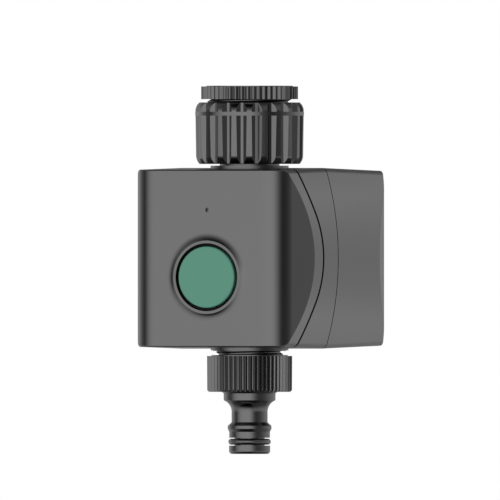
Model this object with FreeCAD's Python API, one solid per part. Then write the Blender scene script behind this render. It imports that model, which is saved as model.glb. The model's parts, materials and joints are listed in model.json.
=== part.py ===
"""Smart water valve for a garden tap: barrel-sided housing with a front button, ribbed swivel
nut with a knurled thread adapter on top, knurled outlet adaptor with a quick-connect nipple below.

Millimetres, +Z up, front towards -Y. Heights are measured from the housing's middle on the water
axis, and every piece is moved down at the end, so that the origin is the mouth of the inlet.
"""
import math
import os

import FreeCAD
import Part

V = FreeCAD.Vector
X_AXIS = V(1, 0, 0)
Y_AXIS = V(0, 1, 0)
Z_AXIS = V(0, 0, 1)
ORIGIN = V(0, 0, 0)

# Housing: seen from above it is a plan outline, from the front a barrel, from the side a drafted block
FRONT_Y = -39.25
SEAM_Y = 2.0
REAR_Y = 57.35
MID_HALF_WIDTH = 37.45
BARREL_RADIUS = 118.0
HALF_HEIGHT = 35.45
EDGE_RADIUS = 2.6
FRONT_DRAFT = 1.0
REAR_DRAFT = 1.2
FRONT_CORNER = (MID_HALF_WIDTH - 14.05, 10.5, 18.4)
REAR_CORNER = (MID_HALF_WIDTH - 12.75, 10.6, 15.6)
FRONT_EDGE_RADIUS = 0.5
WALL = 2.4

# Reach of cutting forms, further out than any piece
BEYOND = 100.0

# Curved seam between front cover and middle housing, and flat seam behind the middle housing
CURVE_APEX_Y = -11.55
CURVE_RADIUS = 36.0
CURVE_HALF_HEIGHT = 17.5
CURVE_GAP = 1.0
FLAT_GAP = 0.4
SEAL_DEPTH = 0.9
SPIGOT_GAP = 0.3
SPIGOT_WALL = 2.0
SPIGOT_FRONT_Y = -27.5
SPIGOT_REAR_Y = -6.0
PLATE_FRONT_Y = -22.5
PLATE_THICKNESS = 2.0

# Button on the front, in a ring on a flare that rises out of the face
BUTTON_Z = -7.43
BUTTON_RADIUS = 12.06
BUTTON_PROUD = 1.2
BUTTON_STROKE = 1.2
BUTTON_SKIRT = 1.8
BUTTON_LIP = 13.9
BUTTON_EDGE = 0.6
RING_INNER = 13.2
RING_OUTER = 14.4
RING_EDGE = 0.15
BEZEL_OUTER = 17.3
BEZEL_CURVE = 5.2
BEZEL_BACK = 1.6
SKIRT_CLEARANCE = 0.14
LED_Z = 18.96
LED_HOLE = 0.9
LED_RECESS = 1.5

# Circuit board behind the front cover
BOARD_Y = -30.0
BOARD_THICKNESS = 1.6
BOARD_HALF = 27.0
BOARD_SCREW = 23.5
BOARD_SHANK = 1.1
SWITCH_SIZE = 6.0
SWITCH_HEIGHT = 3.5
PLUNGER_PIN = 1.7
SWITCH_GAP = BUTTON_STROKE + 0.1
SCREW_FIT = 0.05

# Water way, all on the vertical axis
NECK_RADIUS = 11.73
HOUSING_HOLE = 12.0
INLET_BORE = 8.5
OUTLET_BORE = 8.0
COLLAR_RADIUS = 15.33
COLLAR_TOP = 36.35
COLLAR_SEAT = 35.0
LOWER_COLLAR_RADIUS = 15.25
LOWER_COLLAR_END = -36.1
LOWER_STEP_RADIUS = 14.4
LOWER_STEP_END = -36.35
CLAMP_RADIUS = 14.5
CLAMP_TOP = 33.25
CLAMP_HEIGHT = 2.5
TUBE_TOP = 44.5
SPOUT_END = -48.0
G34_RADIUS = 13.22
G34_ROOT = 12.06
G34_FULL_TOP = -42.0
G1_RADIUS = 16.62
G1_ROOT = 15.14
G1_FULL_TOP = 56.0
G34_PITCH = 1.814
G1_PITCH = 2.309
THREAD_CLEARANCE = 0.13
CLIP_Z = (40.7, 42.3)
CLIP_GROOVE = 10.6
CLIP_OUTER = 14.6

# Ribbed swivel nut
NUT_BOTTOM = 36.98
NUT_TOP = 61.14
NUT_RIBS = 22
NUT_FLOOR = 19.8
NUT_FACE_WIDTH = 1.9
NUT_GROOVE_WIDTH = 1.05
NUT_RADIUS = (21.06, 21.34)
NUT_END_RADIUS = 19.6
NUT_SHOULDERS = (40.0, 57.9)
NUT_SHOULDER_BULGE = 0.4
NUT_BAND = (55.96, 57.45)
NUT_LIP_TOP = 40.3
NUT_LIP_BORE = 12.0
NUT_CAVITY = 15.6
NUT_THREAD_BOTTOM = 44.5

# Knurled thread adapter at the inlet
ADAPTER_RIBS = 50
ADAPTER_RIB_SHARES = (0.2, 0.91)
ADAPTER_PHASE = 0.65
ADAPTER_RADIUS = 18.99
ADAPTER_ROOT = 18.25
ADAPTER_BOTTOM = 47.0
ADAPTER_SHOULDER = 62.4
ADAPTER_KNURL_TOP = 67.4
ADAPTER_DISC = 17.0
INLET_MOUTH = 67.7
FEMALE_DEPTH = 11.6
WASHER_THICKNESS = 2.4
WASHER_POCKET = 13.7
ADAPTER_BORE = 8.7
STRAINER_LEDGE = 9.5
STRAINER_RIM = 2.2

# Knurled outlet adaptor with quick-connect nipple
OUTLET_RIBS = 54
OUTLET_RIB_SHARES = (0.14, 0.9)
OUTLET_PHASE = 2.44
OUTLET_TOP = -37.92
OUTLET_KNURL_TOP = -38.3
OUTLET_KNURL_BOTTOM = -52.4
OUTLET_RADIUS = 16.7
OUTLET_ROOT = 15.6
OUTLET_SEAT = -50.3
OUTLET_END_RADIUS = 15.7
OUTLET_LIP = 14.98
HUB_RADIUS = (10.15, 10.18)
HUB_Z = (-55.7, -53.0)
HUB_TOP_RADIUS = 10.9

# Nipple below the hub: flare, neck that a connector's claws grip, stop, O-ring groove, tip
FLARE_BEND = (7.75, -57.7)
FLARE_END = (9.6, -55.95)
NECK_GROOVE = 7.06
NECK_GROOVE_Z = (-64.3, -60.1)
STOP_RADIUS = 8.58
STOP_TOP = (7.9, -65.1)
STOP_Z = (-66.9, -65.7)
LAND_RADIUS = 7.98
LAND_TOP = -68.1
ORING_GROOVE_Z = (-73.45, -70.4)
NIPPLE_RADIUS = 8.06
TIP_RADIUS = 6.9
TIP_BEND = (7.7, 0.35)
TIP_ROUND = 1.3
NIPPLE_BORE = 4.6
ORING_CENTRE = -71.92
ORING_WIRE = 1.2
ORING_OUTER = 8.34
TIP_Z = -76.74

# Valve chamber, its cover and the solenoid, along Y behind the water axis
FLANGE_HALF = 20.0
FLANGE_CORNER = 5.0
FLANGE_Y = (10.5, 16.0)
FLANGE_SCREW = 16.5
FLANGE_SHANK = 1.4
SEAT_Y = 15.0
SEAT_RADII = (7.0, 9.0)
CHAMBER_RADIUS = 15.5
MEMBRANE = 1.2
BONNET_END = 23.2
CORE_RADIUS = 8.4
CORE_TOP = 18.2
CORE_STROKE = 1.5
PLUNGER_RADIUS = 3.2
PLUNGER_Y = (18.3, 31.0)
PLUNGER_STROKE = 2.5
COIL_RADIUS = 9.5
COIL_Y = (24.4, 34.6)
BOBBIN_RIM = 1.2
YOKE_Y = (23.2, 36.0)
YOKE_HALF = (10.8, 11.5)

# Battery bay at the rear: tray, opening, rim, lid and its screws follow from the three cells
CELL_RADIUS = 7.15
CELL_HALF = 24.6
CELL_PITCH = 14.9
CELL_Y = 45.6
CELL_TIP = (2.7, 0.9)
TRAY_WALL = 1.2
CELL_GAP = 0.65
CONTACT_ROOM = 1.6
CONTACT_HALF = 5.0
TRAY_FRONT_Y = CELL_Y - CELL_RADIUS - CELL_GAP - TRAY_WALL
TRAY_HALF = (CELL_PITCH + CELL_RADIUS + 0.95 + TRAY_WALL, CELL_HALF + CONTACT_ROOM + TRAY_WALL)
REAR_WALL = 3.4
BAY_HALF = (TRAY_HALF[0] - 1.8, TRAY_HALF[1] - TRAY_WALL)
RIM_HALF = (BAY_HALF[0] - 0.8, BAY_HALF[1] - 0.8)
DOOR_HALF = (BAY_HALF[0] + 0.6, BAY_HALF[1] + 4.8)
DOOR_CORNER = 4.0
DOOR_THICKNESS = 1.8
DOOR_GAP = 0.2
DOOR_SCREW_Z = BAY_HALF[1] + 2.8
DOOR_SHANK = 1.3
DOOR_HEAD = 2.2

# Leads from the board through the inner wall to coil and batteries
WIRE_X = 23.0
WIRE_Z = -8.0
WIRE_PITCH = 1.8
WIRE_RADIUS = 0.6
WIRE_HOLE = 3.0
WIRE_BEND = 3.0

# Screws that hold the rear housing to the middle one, a set distance in from the housing's side
CASE_SCREW_Z = HALF_HEIGHT - 8.95
CASE_SCREW_IN = 6.236
CASE_BOSS = 4.4
CASE_BOSS_END = 16.0
CASE_SHANK = 1.5
CASE_SCREW_END = 13.5
CASE_HEAD = 2.8


def barrel_half_width(z):
    """Half the housing's width at a height, without draft."""
    return MID_HALF_WIDTH - BARREL_RADIUS + math.sqrt(BARREL_RADIUS ** 2 - z ** 2)


CASE_SCREW = (barrel_half_width(CASE_SCREW_Z) - CASE_SCREW_IN, CASE_SCREW_Z)


def wire_of(points, place):
    """Closed wire: each item is a point (a, b) reached by a line, or ((a, b), (c, d)), an arc."""
    edges = []
    here = place(*points[0])
    for item in points[1:] + [points[0]]:
        if isinstance(item[0], tuple):
            middle = place(*item[0])
            end = place(*item[1])
            edges.append(Part.Arc(here, middle, end).toShape())
        else:
            end = place(*item)
            if here.distanceToPoint(end) > 1e-6:
                edges.append(Part.makeLine(here, end))
        here = end
    return Part.Wire(edges)


def prism(points, place, direction):
    return Part.Face(wire_of(points, place)).extrude(direction)


def turned(points):
    """Solid of revolution about the water axis from (radius, height) points."""
    wire = wire_of(points, lambda r, h: V(r, 0, h))
    return Part.Face(wire).revolve(ORIGIN, Z_AXIS, 360)


def turned_y(points, x=0.0, z=0.0):
    """Solid of revolution about an axis along Y from (radius, y) points."""
    wire = wire_of(points, lambda r, y: V(r, y, 0))
    solid = Part.Face(wire).revolve(ORIGIN, Y_AXIS, 360)
    solid.translate(V(x, 0, z))
    return solid


def pipe_z(outer, inner, low, high):
    return turned([(inner, low), (outer, low), (outer, high), (inner, high)])


def rod_y(radius, low, high, x=0.0, z=0.0):
    return Part.makeCylinder(radius, high - low, V(x, low, z), Y_AXIS)


def rod_z(radius, low, high):
    return Part.makeCylinder(radius, high - low, V(0, 0, low), Z_AXIS)


def box(half_x, y_range, half_z, x=0.0, z=0.0):
    low = V(x - half_x, y_range[0], z - half_z)
    return Part.makeBox(2 * half_x, y_range[1] - y_range[0], 2 * half_z, low)


def rounded_plate(half_x, half_z, corner, y_range):
    plate = box(half_x, y_range, half_z)
    corners = [edge for edge in plate.Edges if edge.Length < y_range[1] - y_range[0] + 1e-6
               and abs(edge.tangentAt(edge.FirstParameter).y) > 0.9]
    return plate.makeFillet(corner, corners)


def star(count, tip, root, tip_width, root_width, low, high, phase=0.0):
    """Prism with a ring of straight ribs, narrower at the tip than at the root."""
    tip_angle = tip_width / 2.0 / tip
    root_angle = root_width / 2.0 / root
    points = []
    for index in range(count):
        middle = math.radians(phase) + index * 2.0 * math.pi / count
        for radius, angle in ((root, -root_angle), (tip, -tip_angle), (tip, tip_angle), (root, root_angle)):
            bearing = middle + angle
            points.append((radius * math.sin(bearing), -radius * math.cos(bearing)))
    return prism(points, lambda a, b: V(a, b, low), V(0, 0, high - low))


def knurls(count, tip, root, shares, low, high, phase):
    """Fine ribs; the shares give how much of the pitch each rib takes at its tip and at its root."""
    pitch = 2 * math.pi * tip / count
    return star(count, tip, root, shares[0] * pitch, shares[1] * pitch, low, high, phase)


def swept(path_edges, radius):
    """Round rod along a path of lines and arcs."""
    path = Part.Wire(path_edges)
    first = path_edges[0]
    start = first.valueAt(first.FirstParameter)
    section = Part.Wire([Part.makeCircle(radius, start, first.tangentAt(first.FirstParameter))])
    return path.makePipeShell([section], True, False)


def spring_y(radius, wire, low, high, turns, z=0.0):
    """Coil spring along Y, of half rings that lean by turns one way and the other."""
    halves = 2 * turns
    rise = (high - low - 2 * wire) / halves
    rings = []
    for index in range(halves):
        side = 1 if index % 2 == 0 else -1
        start = V(side * radius, low + wire + index * rise, z)
        centre = V(0, low + wire + (index + 0.5) * rise, z)
        axis = (start - centre).cross(V(0, 0, -side))
        axis.normalize()
        section = Part.Face(Part.Wire([Part.makeCircle(wire, start, Z_AXIS)]))
        rings.append(section.revolve(centre, axis, 180))
    return joined(*rings)


def mirrored_four(solid):
    """The solid with its mirror images across both middle planes."""
    pair = [solid, solid.mirror(ORIGIN, X_AXIS)]
    return pair + [item.mirror(ORIGIN, Z_AXIS) for item in pair]


def joined(*solids):
    result = solids[0].multiFuse(list(solids[1:]))
    return result.removeSplitter()


def without(solid, *tools):
    return solid.cut(list(tools))


# Housing form

def corner_points(centre_x, centre_y, radius, lean, sign, far_y):
    """Right half of a plan corner: end of the flat face, arc, and the leaning side line."""
    slope = math.radians(lean)
    tangent = (centre_x + radius * math.cos(slope), centre_y + sign * radius * math.sin(slope))
    middle_angle = (math.pi / 2 + slope) / 2
    middle = (centre_x + radius * math.cos(middle_angle), centre_y + sign * radius * math.sin(middle_angle))
    far = (tangent[0] + abs(far_y - tangent[1]) * math.tan(slope), far_y)
    return (centre_x, centre_y + sign * radius), middle, tangent, far


def plan_outline(inset):
    front_x, front_r, front_lean = FRONT_CORNER
    rear_x, rear_r, rear_lean = REAR_CORNER
    face, bend, tangent, far = corner_points(front_x, FRONT_Y + front_r, front_r - inset,
                                             front_lean, -1, SEAM_Y)
    right = [face, (bend, tangent), far]
    rear_face, rear_bend, rear_tangent, rear_far = corner_points(rear_x, REAR_Y - rear_r, rear_r - inset,
                                                                 rear_lean, 1, SEAM_Y)
    right += [rear_far, rear_tangent, (rear_bend, rear_face)]
    left = [(-rear_face[0], rear_face[1]),
            ((-rear_bend[0], rear_bend[1]), (-rear_tangent[0], rear_tangent[1])),
            (-rear_far[0], rear_far[1]),
            (-far[0], far[1]),
            (-tangent[0], tangent[1]),
            ((-bend[0], bend[1]), (-face[0], face[1]))]
    return right + left


def barrel_section(y, half_height, inset):
    """Cross-section of the housing: flat top and bottom, bulging sides, rounded edges."""
    radius = BARREL_RADIUS - inset
    centre = MID_HALF_WIDTH - BARREL_RADIUS
    edge = max(EDGE_RADIUS - inset, 0.5)
    height = half_height - inset
    edge_z = height - edge
    edge_x = centre + math.sqrt((radius - edge) ** 2 - edge_z ** 2)
    angle = math.atan2(edge_z, edge_x - centre)
    touch = (centre + radius * math.cos(angle), radius * math.sin(angle))
    bend_angle = (angle + math.pi / 2) / 2
    bend = (edge_x + edge * math.cos(bend_angle), edge_z + edge * math.sin(bend_angle))
    side = (MID_HALF_WIDTH - inset, 0.0)
    points = [(edge_x, height), (bend, touch), (side, (touch[0], -touch[1])),
              ((bend[0], -bend[1]), (edge_x, -height)), (-edge_x, -height),
              ((-bend[0], -bend[1]), (-touch[0], -touch[1])), ((-side[0], 0.0), (-touch[0], touch[1])),
              ((-bend[0], bend[1]), (-edge_x, height))]
    return wire_of(points, lambda a, b: V(a, y, b))


def drafted_barrel(y_end, draft, inset):
    drop = abs(y_end - SEAM_Y) * math.tan(math.radians(draft))
    sections = [barrel_section(SEAM_Y, HALF_HEIGHT, inset),
                barrel_section(y_end, HALF_HEIGHT - drop, inset)]
    return Part.makeLoft(sections, True, True)


def housing_form(inset, front):
    """One half of the housing's form, moved inwards all round by the inset."""
    y_end, draft = (FRONT_Y - 5, FRONT_DRAFT) if front else (REAR_Y + 5, REAR_DRAFT)
    barrel = drafted_barrel(y_end, draft, inset)
    plan = prism(plan_outline(inset), lambda a, b: V(a, b, -BEYOND), V(0, 0, 2 * BEYOND))
    return barrel.common(plan)


def seam_side(offset, front):
    """Everything in front of, or behind, the curved seam moved back by the offset."""
    radius = CURVE_RADIUS + offset
    centre_y = CURVE_APEX_Y - CURVE_RADIUS
    lean = math.asin(CURVE_HALF_HEIGHT / CURVE_RADIUS)
    bend = (centre_y + radius * math.cos(lean), radius * math.sin(lean))
    far = (bend[0] - (BEYOND - bend[1]) * math.tan(lean), BEYOND)
    apex = (centre_y + radius, 0.0)
    wall_y = -2 * BEYOND if front else 2 * BEYOND
    points = [(wall_y, BEYOND), far, bend, (apex, (bend[0], -bend[1])), (far[0], -BEYOND), (wall_y, -BEYOND)]
    return prism(points, lambda a, b: V(-BEYOND, a, b), V(2 * BEYOND, 0, 0))


def slab(low, high):
    """All that lies between two planes across Y."""
    return box(BEYOND, (low, high), BEYOND)


FRONT_OUTER = housing_form(0.0, True)
FRONT_INNER = housing_form(WALL, True)
REAR_OUTER = housing_form(0.0, False)
REAR_INNER = housing_form(WALL, False)
SPIGOT_OUTER = housing_form(WALL + SPIGOT_GAP, True)
SPIGOT_INNER = housing_form(WALL + SPIGOT_GAP + SPIGOT_WALL, True)
WALL_INNER_Y = FRONT_Y + WALL


def neck_tools():
    """Room for the water tube where it passes the housing's roof and floor."""
    hole = rod_z(HOUSING_HOLE, -BEYOND, BEYOND)
    room = rod_z(CLAMP_RADIUS + 0.4, -CLAMP_TOP, CLAMP_TOP)
    roof_seat = rod_z(COLLAR_RADIUS + 0.2, COLLAR_SEAT, BEYOND)
    floor_seat = rod_z(LOWER_COLLAR_RADIUS + 0.2, -BEYOND, -COLLAR_SEAT)
    return hole, room, roof_seat, floor_seat


def front_cover():
    shell = without(FRONT_OUTER, FRONT_INNER)
    shell = shell.common(seam_side(-CURVE_GAP / 2, True))
    rim = [edge for edge in shell.Edges
           if edge.BoundBox.YMax < FRONT_Y + 0.001]
    shell = shell.makeFillet(FRONT_EDGE_RADIUS, rim)
    lean = math.asin((BEZEL_OUTER - RING_OUTER) / BEZEL_CURVE)
    ring_y = FRONT_Y - BEZEL_CURVE * (1 - math.cos(lean))
    bend = (BEZEL_OUTER - BEZEL_CURVE * math.sin(lean / 2), FRONT_Y - BEZEL_CURVE * (1 - math.cos(lean / 2)))
    back_y = WALL_INNER_Y + BEZEL_BACK
    bezel = turned_y([(RING_INNER, WALL_INNER_Y), (BUTTON_LIP + 0.5, WALL_INNER_Y), (BUTTON_LIP + 0.5, back_y),
                      (BEZEL_OUTER, back_y), (BEZEL_OUTER, FRONT_Y), (bend, (RING_OUTER, ring_y)),
                      (RING_INNER + RING_EDGE, ring_y), (RING_INNER, ring_y + RING_EDGE)], z=BUTTON_Z)
    place = rod_y(BEZEL_OUTER, FRONT_Y - 5, back_y, z=BUTTON_Z)
    led_hole = rod_y(LED_HOLE, FRONT_Y - 5, WALL_INNER_Y + 5, z=LED_Z)
    return without(joined(without(shell, place), bezel), led_hole)


def middle_housing():
    behind = seam_side(CURVE_GAP / 2, False)
    ring = without(FRONT_OUTER, FRONT_INNER).common(behind)
    web = without(FRONT_INNER, SPIGOT_INNER).common(behind).common(slab(-BEYOND, SPIGOT_REAR_Y))
    spigot = without(SPIGOT_OUTER, SPIGOT_INNER).common(slab(SPIGOT_FRONT_Y, SPIGOT_REAR_Y))
    plate = SPIGOT_OUTER.common(slab(PLATE_FRONT_Y, PLATE_FRONT_Y + PLATE_THICKNESS))
    bosses = mirrored_four(rod_y(CASE_BOSS, PLATE_FRONT_Y, SEAM_Y - FLAT_GAP / 2, *CASE_SCREW))
    bosses = [boss.common(SPIGOT_OUTER) for boss in bosses]
    posts = mirrored_four(rod_y(3.0, BOARD_Y + BOARD_THICKNESS, PLATE_FRONT_Y, BOARD_SCREW, BOARD_SCREW))
    housing = joined(ring, web, spigot, plate, *bosses, *posts)
    screws = mirrored_four(rod_y(CASE_SHANK + SCREW_FIT, -BEYOND, SEAM_Y, *CASE_SCREW))
    heads = mirrored_four(rod_y(CASE_HEAD + 0.2, -BEYOND, PLATE_FRONT_Y + 1.0, *CASE_SCREW))
    pilot_end = PLATE_FRONT_Y - 1.5
    pilots = mirrored_four(rod_y(BOARD_SHANK + SCREW_FIT, -BEYOND, pilot_end, BOARD_SCREW, BOARD_SCREW))
    wire_hole = rod_y(WIRE_HOLE, PLATE_FRONT_Y - 1, PLATE_FRONT_Y + 4, WIRE_X, WIRE_Z)
    housing = housing.common(slab(-BEYOND, SEAM_Y - FLAT_GAP / 2))
    return without(housing, *neck_tools(), *screws, *heads, *pilots, wire_hole)


def rear_housing():
    cavity = REAR_INNER.common(slab(SEAM_Y, REAR_Y - REAR_WALL))
    shell = without(REAR_OUTER, cavity)
    bosses = mirrored_four(rod_y(CASE_BOSS, SEAM_Y, CASE_BOSS_END, *CASE_SCREW))
    bosses = [boss.common(REAR_INNER) for boss in bosses]
    door_posts = [rod_y(3.4, REAR_Y - REAR_WALL - 7, REAR_Y - REAR_WALL, z=side * DOOR_SCREW_Z)
                  for side in (1, -1)]
    door_posts = [without(post, box(TRAY_HALF[0], (0, BEYOND), TRAY_HALF[1])) for post in door_posts]
    shell = joined(shell, *bosses, *door_posts)
    front_gap = slab(SEAM_Y - 5, SEAM_Y + FLAT_GAP / 2)
    recess = rounded_plate(DOOR_HALF[0] + DOOR_GAP, DOOR_HALF[1] + DOOR_GAP, DOOR_CORNER + DOOR_GAP,
                           (REAR_Y - DOOR_THICKNESS, REAR_Y + 5))
    bay = rounded_plate(BAY_HALF[0], BAY_HALF[1], 2.0, (REAR_Y - REAR_WALL - 1, REAR_Y + 5))
    screws = mirrored_four(rod_y(CASE_SHANK + SCREW_FIT, 0, CASE_SCREW_END + 0.5, *CASE_SCREW))
    door_shank = DOOR_SHANK + SCREW_FIT
    door_screws = [rod_y(door_shank, REAR_Y - REAR_WALL - 6, REAR_Y, z=side * DOOR_SCREW_Z)
                   for side in (1, -1)]
    return without(shell, front_gap, recess, bay, *neck_tools(), *screws, *door_screws)


def front_seal():
    band = without(housing_form(SEAL_DEPTH, True), SPIGOT_OUTER)
    band = band.common(seam_side(CURVE_GAP / 2, True))
    return band.common(seam_side(-CURVE_GAP / 2, False))


def rear_seal():
    band = without(housing_form(0.5, True), FRONT_INNER)
    band = band.common(slab(SEAM_Y - FLAT_GAP / 2, SEAM_Y))
    rear = without(housing_form(0.5, False), REAR_INNER)
    rear = rear.common(slab(SEAM_Y, SEAM_Y + FLAT_GAP / 2))
    return without(joined(band, rear), *neck_tools())


# Button, board and indicator

def push_button():
    face_y = FRONT_Y - BUTTON_PROUD
    lip_front = WALL_INNER_Y + 0.1
    inner = BUTTON_RADIUS - BUTTON_SKIRT
    back_y = face_y + 2.0
    stem_y = BOARD_Y - SWITCH_HEIGHT - SWITCH_GAP
    dome = 0.25
    cap = turned_y([(0, face_y - dome), ((6.0, face_y - dome * 0.75), (BUTTON_RADIUS - BUTTON_EDGE, face_y)),
                    ((BUTTON_RADIUS - 0.29 * BUTTON_EDGE, face_y + 0.29 * BUTTON_EDGE),
                     (BUTTON_RADIUS, face_y + BUTTON_EDGE)),
                    (BUTTON_RADIUS, lip_front), (BUTTON_LIP, lip_front), (BUTTON_LIP, lip_front + 1.0),
                    (inner, lip_front + 1.0), (inner, back_y), (3.0, back_y), (3.0, stem_y), (0, stem_y)],
                   z=BUTTON_Z)
    return cap


def button_seal():
    inner = BUTTON_RADIUS + SKIRT_CLEARANCE
    return turned_y([(inner, FRONT_Y + 1.0), (RING_INNER, FRONT_Y + 1.0), (RING_INNER, WALL_INNER_Y),
                     (inner, WALL_INNER_Y)], z=BUTTON_Z)


def button_spring():
    return spring_y(5.6, 0.35, FRONT_Y - BUTTON_PROUD + 2.0, BOARD_Y, 4, BUTTON_Z)


def tact_switch():
    half = SWITCH_SIZE / 2
    body = box(half, (BOARD_Y - SWITCH_HEIGHT, BOARD_Y), half, z=BUTTON_Z)
    return without(body, rod_y(PLUNGER_PIN + 0.05, BOARD_Y - SWITCH_HEIGHT - 1, BOARD_Y - 0.3, z=BUTTON_Z))


def switch_plunger():
    top = BOARD_Y - SWITCH_HEIGHT - SWITCH_GAP
    return rod_y(PLUNGER_PIN, top, BOARD_Y - 0.3 - BUTTON_STROKE - 0.1, z=BUTTON_Z)


def circuit_board():
    board = rounded_plate(BOARD_HALF, BOARD_HALF, 3.0, (BOARD_Y, BOARD_Y + BOARD_THICKNESS))
    holes = mirrored_four(rod_y(BOARD_SHANK + SCREW_FIT, BOARD_Y - 1, BOARD_Y + 3, BOARD_SCREW, BOARD_SCREW))
    return without(board, *holes)


def pan_screw(head_radius, head_height, shank, seat_y, end_y, x, z):
    """Screw along Y with its head in front of the seat and its shank going back."""
    return turned_y([(0, seat_y - head_height), (head_radius * 0.7, seat_y - head_height),
                     (head_radius, seat_y - head_height * 0.5), (head_radius, seat_y),
                     (shank, seat_y), (shank, end_y), (0, end_y)], x, z)


def board_screws():
    return Part.makeCompound(mirrored_four(
        pan_screw(2.0, 1.3, BOARD_SHANK, BOARD_Y, PLATE_FRONT_Y - 1.6, BOARD_SCREW, BOARD_SCREW)))


def case_screws():
    return Part.makeCompound(mirrored_four(
        pan_screw(CASE_HEAD, 1.8, CASE_SHANK, PLATE_FRONT_Y + 1.0, CASE_SCREW_END, *CASE_SCREW)))


def bonnet_screws():
    screw = pan_screw(2.6, 2.0, FLANGE_SHANK, -BONNET_END, -FLANGE_Y[0] - 0.5, FLANGE_SCREW, FLANGE_SCREW)
    return Part.makeCompound(mirrored_four(screw.mirror(ORIGIN, Y_AXIS)))


def door_screws():
    seat = REAR_Y - DOOR_THICKNESS + 0.6
    screw = pan_screw(DOOR_HEAD, 1.2, DOOR_SHANK, -seat, -(REAR_Y - REAR_WALL - 5), 0, DOOR_SCREW_Z)
    screw = screw.mirror(ORIGIN, Y_AXIS)
    return Part.makeCompound([screw, screw.mirror(ORIGIN, Z_AXIS)])


def radio_module():
    return box(9.0, (BOARD_Y - 2.6, BOARD_Y), 5.5, -11.5, 14.5)


def capacitor():
    return Part.makeCylinder(2.5, 10.0, V(17.0, BOARD_Y - 2.5, 12.0), Z_AXIS)


def status_led():
    return box(0.9, (BOARD_Y - 1.0, BOARD_Y), 0.7, z=LED_Z)


def light_pipe():
    top = FRONT_Y + LED_RECESS
    return turned_y([(0, top), (LED_HOLE, top), (LED_HOLE, WALL_INNER_Y), (2.0, WALL_INNER_Y),
                     (2.0, WALL_INNER_Y + 1.0), (1.2, BOARD_Y - 1.0), (0, BOARD_Y - 1.0)], z=LED_Z)


# Water way

def valve_body():
    tube = turned([(0, SPOUT_END), (G34_RADIUS - 0.8, SPOUT_END), (G34_RADIUS, SPOUT_END + 0.8),
                   (G34_RADIUS, G34_FULL_TOP), (G34_ROOT, G34_FULL_TOP),
                   (G34_ROOT, LOWER_STEP_END), (LOWER_STEP_RADIUS, LOWER_STEP_END),
                   (LOWER_STEP_RADIUS, LOWER_COLLAR_END), (LOWER_COLLAR_RADIUS, LOWER_COLLAR_END),
                   (LOWER_COLLAR_RADIUS, -COLLAR_SEAT), (NECK_RADIUS, -COLLAR_SEAT),
                   (NECK_RADIUS, -CLAMP_TOP), (CLAMP_RADIUS, -CLAMP_TOP),
                   (CLAMP_RADIUS, -CLAMP_TOP + CLAMP_HEIGHT), (13.0, -CLAMP_TOP + CLAMP_HEIGHT),
                   (13.0, CLAMP_TOP - CLAMP_HEIGHT), (CLAMP_RADIUS, CLAMP_TOP - CLAMP_HEIGHT),
                   (CLAMP_RADIUS, CLAMP_TOP), (NECK_RADIUS, CLAMP_TOP), (NECK_RADIUS, COLLAR_SEAT),
                   (COLLAR_RADIUS, COLLAR_SEAT), (COLLAR_RADIUS, COLLAR_TOP), (NECK_RADIUS, COLLAR_TOP),
                   (NECK_RADIUS, CLIP_Z[0]), (CLIP_GROOVE, CLIP_Z[0]), (CLIP_GROOVE, CLIP_Z[1]),
                   (NECK_RADIUS, CLIP_Z[1]), (NECK_RADIUS, TUBE_TOP - 0.5), (NECK_RADIUS - 0.5, TUBE_TOP),
                   (0, TUBE_TOP)])
    barrel = rod_y(CHAMBER_RADIUS, 0, FLANGE_Y[0] + 1)
    flange = rounded_plate(FLANGE_HALF, FLANGE_HALF, FLANGE_CORNER, FLANGE_Y)
    block = joined(tube, barrel, flange)
    chamber_floor = FLANGE_Y[0] + 1.5
    chamber = turned_y([(SEAT_RADII[1], chamber_floor), (CHAMBER_RADIUS, chamber_floor),
                        (CHAMBER_RADIUS, FLANGE_Y[1]), (0, FLANGE_Y[1]), (0, SEAT_Y), (SEAT_RADII[1], SEAT_Y)])
    inlet = rod_z(INLET_BORE, 8.0, TUBE_TOP + 1)
    feed = rod_y(3.2, 0, FLANGE_Y[1], z=12.2)
    seat_bore = rod_y(SEAT_RADII[0], 0, FLANGE_Y[1])
    outlet = rod_z(OUTLET_BORE, SPOUT_END - 1, 0)
    shank = FLANGE_SHANK + SCREW_FIT
    screws = mirrored_four(rod_y(shank, FLANGE_Y[0], FLANGE_Y[1] + 1, FLANGE_SCREW, FLANGE_SCREW))
    return without(block, chamber, inlet, feed, seat_bore, outlet, *screws)


def square_plate(y_range, *holes):
    plate = rounded_plate(FLANGE_HALF, FLANGE_HALF, FLANGE_CORNER, y_range)
    shank = FLANGE_SHANK + SCREW_FIT
    screws = mirrored_four(rod_y(shank, y_range[0] - 1, y_range[1] + 1, FLANGE_SCREW, FLANGE_SCREW))
    return without(plate, *screws, *holes)


def diaphragm():
    top = FLANGE_Y[1] + MEMBRANE
    return square_plate((FLANGE_Y[1], top), rod_y(CORE_RADIUS, 0, 40))


def diaphragm_core():
    return turned_y([(1.0, SEAT_Y), (CORE_RADIUS, SEAT_Y), (CORE_RADIUS, CORE_TOP - 0.6), (3.6, CORE_TOP - 0.6),
                     (3.2, CORE_TOP), (1.0, CORE_TOP)])


def diaphragm_spring():
    return spring_y(5.6, 0.35, CORE_TOP - 0.6, BONNET_END - 2.2, 2)


def bonnet():
    low = FLANGE_Y[1] + MEMBRANE
    cavity = rod_y(CHAMBER_RADIUS, low - 1, BONNET_END - 2.2)
    guide = rod_y(PLUNGER_RADIUS + 0.1, low, BONNET_END + 1)
    return square_plate((low, BONNET_END), cavity, guide)


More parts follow.
